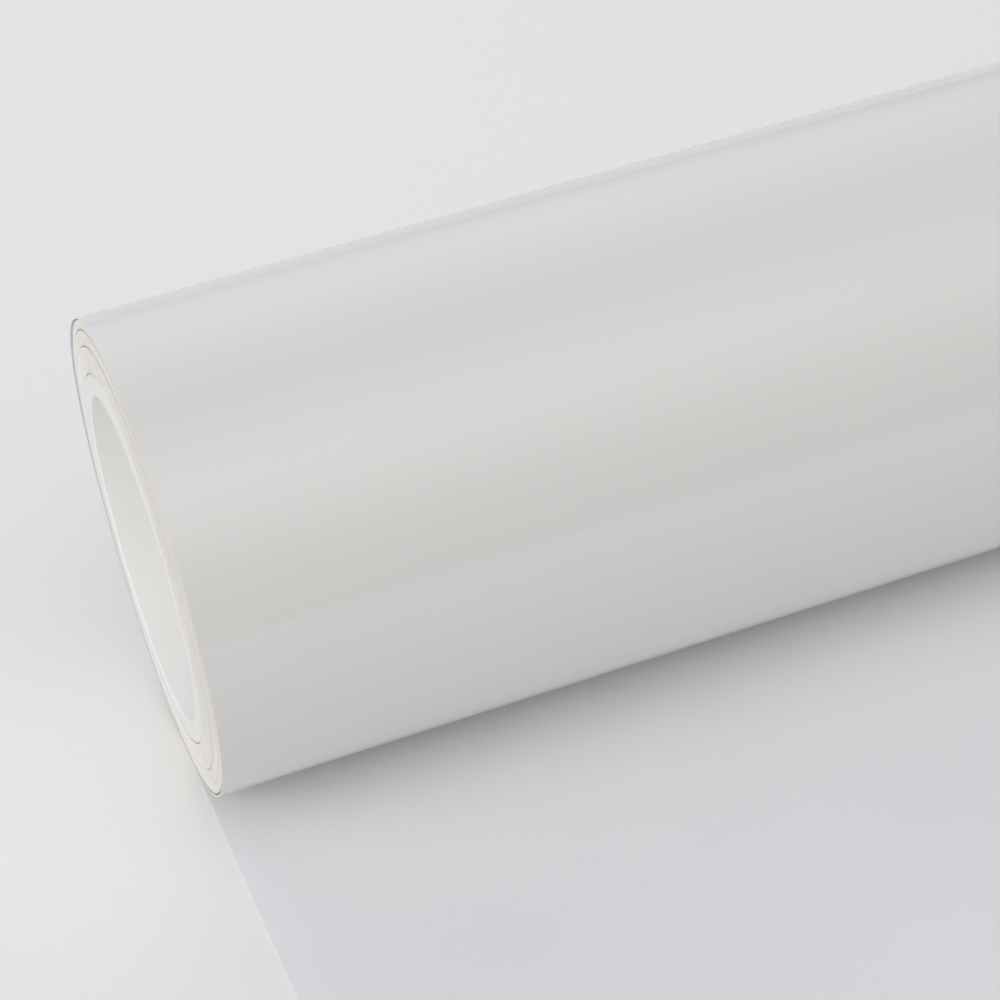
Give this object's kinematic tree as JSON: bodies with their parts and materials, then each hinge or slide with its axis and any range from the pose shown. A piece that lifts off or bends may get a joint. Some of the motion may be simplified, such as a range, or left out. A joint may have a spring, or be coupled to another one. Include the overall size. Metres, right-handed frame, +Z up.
{
  "type": "roll of sign vinyl",
  "caption": "Part-used roll of white self-adhesive film on its release liner, wound on a three-inch core, with the loose end laid flat in front of it.",
  "frame": {"origin": "middle of the bore, on the axis of the roll", "axes": "+X along the roll's axis, +Z up from the table that it lies on, and the loose end runs out towards -Y"},
  "size_m": [0.6116, 0.4762, 0.1124],
  "materials": {
    "core": "satin",
    "tape": "gloss",
    "wound_web": "satin",
    "film": "gloss",
    "liner": "satin"
  },
  "bodies": {
    "leader": {"leader_film": "film", "leader_liner": "liner"},
    "last_turn": {"last_turn_film": "film", "last_turn_liner": "liner"},
    "roll": {"core_tube": "core", "start_tape": "tape", "inner_windings": "wound_web", "middle_windings": "wound_web", "outer_windings": "wound_web"}
  },
  "joints": [
    {"name": "roll_travel", "type": "slide", "parent": "leader", "child": "last_turn", "axis": [0, -1, 0], "range_m": [0, 0.4], "deforming": ["leader_film", "leader_liner"]},
    {"name": "roll_turn", "type": "hinge", "parent": "last_turn", "child": "roll", "pos_m": [0, 0, 0], "axis": [1, 0, 0], "range_deg": [0, 410]}
  ],
  "couplings": [
    {"joint": "roll_turn", "follows": "roll_travel", "rad_per_m": 17.806}
  ]
}
